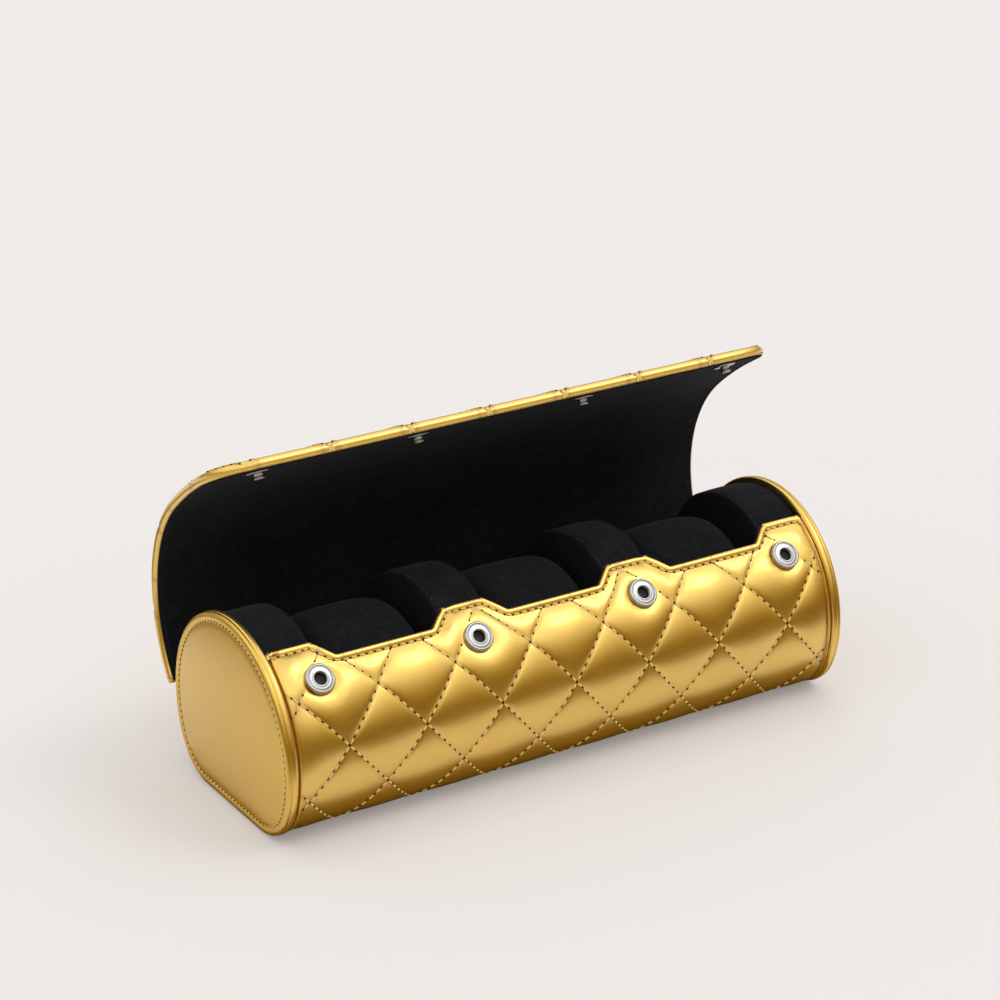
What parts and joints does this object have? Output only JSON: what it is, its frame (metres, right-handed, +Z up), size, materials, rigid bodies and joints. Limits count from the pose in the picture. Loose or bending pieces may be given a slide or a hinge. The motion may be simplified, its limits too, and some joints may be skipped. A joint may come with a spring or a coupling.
{
  "type": "watch storage case",
  "caption": "Flat-footed leather watch roll with padded ends, suede dividers and pillows, and a curved lid whose flap closes with snap fasteners.",
  "frame": {"origin": "on the table below the middle of the tub, on the cover's flat underside", "axes": "+X along the case from the left cap to the right cap, -Y out of the tabbed front, +Z up"},
  "size_m": [0.218, 0.0953, 0.1195],
  "materials": {
    "gold_leather": "smooth, satin metallic gold",
    "black_suede": "short black suede nap",
    "stiff_board": "hidden fibre board",
    "foam": "hidden soft foam",
    "snap_metal": "bright nickel plate"
  },
  "bodies": {
    "case": {"body_cover": "gold_leather", "body_shell": "stiff_board", "body_lining": "black_suede", "hinge_strip": "gold_leather", "front_snap_sockets": "snap_metal", "front_snap_springs": "snap_metal", "front_snap_eyelets": "snap_metal", "left_cap_piping": "gold_leather", "left_cap_cover": "gold_leather", "left_cap_board": "stiff_board", "left_cap_lining": "black_suede", "right_cap_piping": "gold_leather", "right_cap_cover": "gold_leather", "right_cap_board": "stiff_board", "right_cap_lining": "black_suede", "divider_1_core": "foam", "divider_1_wrap": "black_suede", "divider_2_core": "foam", "divider_2_wrap": "black_suede", "divider_3_core": "foam", "divider_3_wrap": "black_suede", "divider_4_core": "foam", "divider_4_wrap": "black_suede", "pillow_1_core": "foam", "pillow_1_sleeve": "black_suede", "pillow_2_core": "foam", "pillow_2_sleeve": "black_suede", "pillow_3_core": "foam", "pillow_3_sleeve": "black_suede"},
    "lid": {"lid_lining": "black_suede", "lid_board": "stiff_board", "lid_cover": "gold_leather"},
    "flap": {"flap_lining": "black_suede", "flap_board": "stiff_board", "flap_cover": "gold_leather", "flap_snap_studs": "snap_metal", "flap_snap_rivets": "snap_metal"}
  },
  "joints": [
    {"name": "lid_hinge", "type": "hinge", "parent": "case", "child": "lid", "pos_m": [0, 0.045, 0.0256], "axis": [-1, 0, 0], "range_deg": [-37.29, 110]},
    {"name": "flap_bend", "type": "hinge", "parent": "lid", "child": "flap", "pos_m": [0, 0.03512, 0.09299], "axis": [-1, 0, 0], "range_deg": [-30.8, 0], "stiffness_Nm_per_rad": 0.06, "springref_deg": 28.65}
  ]
}
